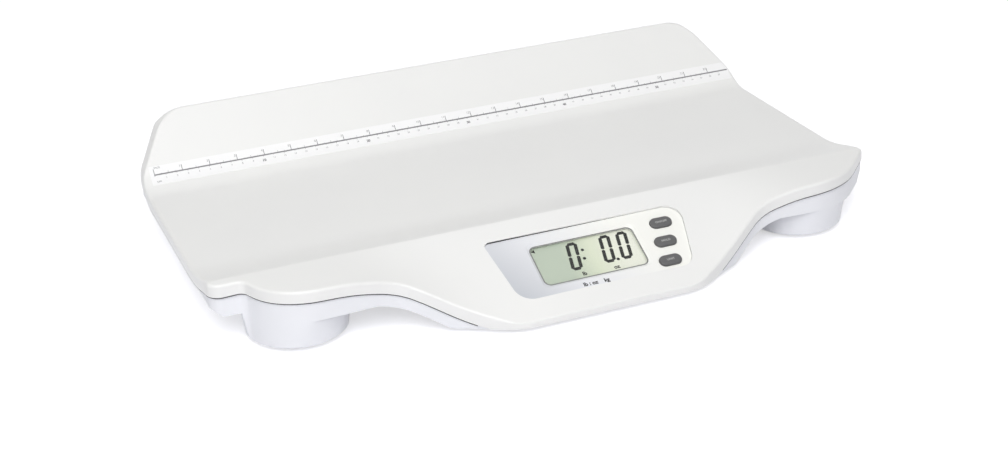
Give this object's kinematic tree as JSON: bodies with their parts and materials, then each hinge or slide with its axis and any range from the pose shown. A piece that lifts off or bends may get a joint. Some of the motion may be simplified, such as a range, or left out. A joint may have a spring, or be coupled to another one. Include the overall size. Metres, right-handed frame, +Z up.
{
  "type": "digital baby weighing scale",
  "caption": "Digital baby weighing scale with a long white tray, a leaning back wall with a measuring tape, and a sloping front console with a display and grey buttons.",
  "frame": {"origin": "on the table under the centre of the overall box", "axes": "+X along the tray to the right seen from the console, +Y towards the back wall, +Z up"},
  "size_m": [0.597, 0.3746, 0.0998],
  "materials": {
    "white_abs": "white moulded ABS, glossy",
    "tape_film": "printed white film",
    "panel_silver": "silver grey printed fascia",
    "clear_window": "clear acrylic",
    "lcd": "grey green liquid crystal display",
    "key_grey": "dark grey satin plastic",
    "black_plastic": "black moulded plastic",
    "black_rubber": "striped conductive rubber",
    "milky_plastic": "milky light guide",
    "silicone": "grey silicone",
    "foot_rubber": "light grey rubber",
    "board_green": "green solder mask",
    "steel": "zinc plated steel",
    "nickel": "nickel plated spring steel",
    "battery_jacket": "plain dark blue printed jacket"
  },
  "bodies": {
    "scale": {"top_shell": "white_abs", "bottom_shell": "white_abs", "measuring_tape": "tape_film", "display_panel": "panel_silver", "lcd_window": "clear_window", "lcd_glass": "lcd", "lcd_holder": "black_plastic", "lcd_connector": "black_rubber", "backlight": "milky_plastic", "main_board": "board_green", "main_chip": "black_plastic", "buzzer": "black_plastic", "keypad_mat": "silicone", "board_screws": "steel", "battery_spring_contacts": "nickel", "battery_plate_contacts": "nickel", "case_screws": "steel", "load_cell_screws": "steel", "battery_1": "battery_jacket", "battery_2": "battery_jacket", "battery_3": "battery_jacket", "battery_4": "battery_jacket", "foot_seat_front_left": "white_abs", "rubber_foot_front_left": "foot_rubber", "load_cell_front_left": "steel", "foot_seat_front_right": "white_abs", "rubber_foot_front_right": "foot_rubber", "load_cell_front_right": "steel", "foot_seat_back_left": "white_abs", "rubber_foot_back_left": "foot_rubber", "load_cell_back_left": "steel", "foot_seat_back_right": "white_abs", "rubber_foot_back_right": "foot_rubber", "load_cell_back_right": "steel"},
    "button_top": {"button_top": "key_grey"},
    "button_middle": {"button_middle": "key_grey"},
    "button_bottom": {"button_bottom": "key_grey"},
    "battery_door": {"battery_door": "white_abs"}
  },
  "joints": [
    {"name": "button_top_press", "type": "slide", "parent": "scale", "child": "button_top", "axis": [0, 0.4384, -0.8988], "range_m": [0, 0.001], "stiffness_N_per_m": 300},
    {"name": "button_middle_press", "type": "slide", "parent": "scale", "child": "button_middle", "axis": [0, 0.4384, -0.8988], "range_m": [0, 0.001], "stiffness_N_per_m": 300},
    {"name": "button_bottom_press", "type": "slide", "parent": "scale", "child": "button_bottom", "axis": [0, 0.4384, -0.8988], "range_m": [0, 0.001], "stiffness_N_per_m": 300},
    {"name": "battery_door_slide", "type": "slide", "parent": "scale", "child": "battery_door", "axis": [0, 1, 0], "range_m": [0, 0.046]}
  ]
}
